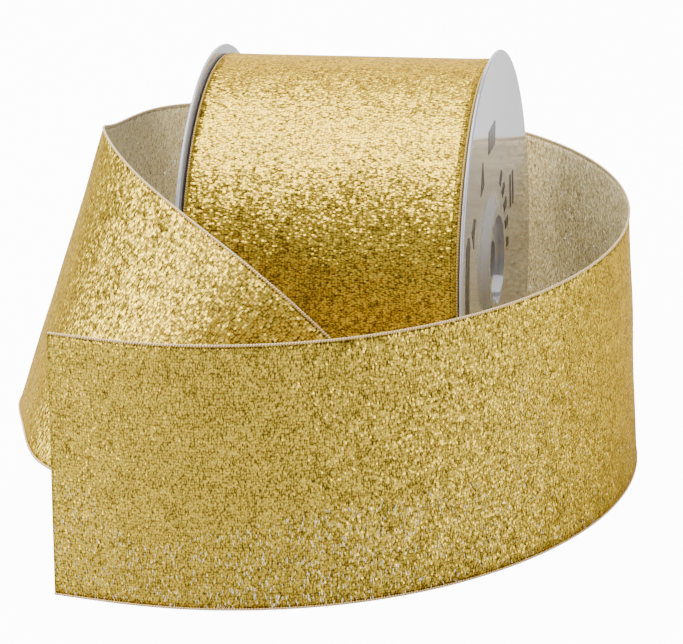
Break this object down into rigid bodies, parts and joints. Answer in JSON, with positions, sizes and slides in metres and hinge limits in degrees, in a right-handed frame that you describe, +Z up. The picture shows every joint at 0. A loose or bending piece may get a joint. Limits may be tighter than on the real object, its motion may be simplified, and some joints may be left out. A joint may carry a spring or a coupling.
{
  "type": "ribbon spool",
  "caption": "Wide metallic woven ribbon with wired edges on a two-flange plastic spool, its free end pulled off into a loop that stands on edge round the spool.",
  "frame": {"origin": "middle of the spindle bore, halfway between the two flanges", "axes": "+X along the spindle bore to the right-hand flange, +Z up, -Y towards the side where the ribbon's free end lies"},
  "size_m": [0.1361, 0.1683, 0.095],
  "materials": {
    "flange_plastic": "glossy moulded polystyrene",
    "core_board": "wound paperboard",
    "tape": "paper tape",
    "ribbon_weave": "woven metallic lurex",
    "edge_wire": "thread overlocked round a fine wire",
    "print": "printed ink"
  },
  "bodies": {
    "ribbon_tail": {"loose_ribbon": "ribbon_weave", "loose_edge_upper": "edge_wire", "loose_edge_lower": "edge_wire"},
    "spool": {"right_flange": "flange_plastic", "left_flange": "flange_plastic", "core_tube": "core_board", "start_tape": "tape", "wound_ribbon": "ribbon_weave", "wound_edge_right": "edge_wire", "wound_edge_left": "edge_wire", "flange_print": "print"}
  },
  "joints": [
    {"name": "spool_turn", "type": "hinge", "parent": "ribbon_tail", "child": "spool", "pos_m": [0, 0, 0], "axis": [1, 0, 0], "continuous": true}
  ]
}
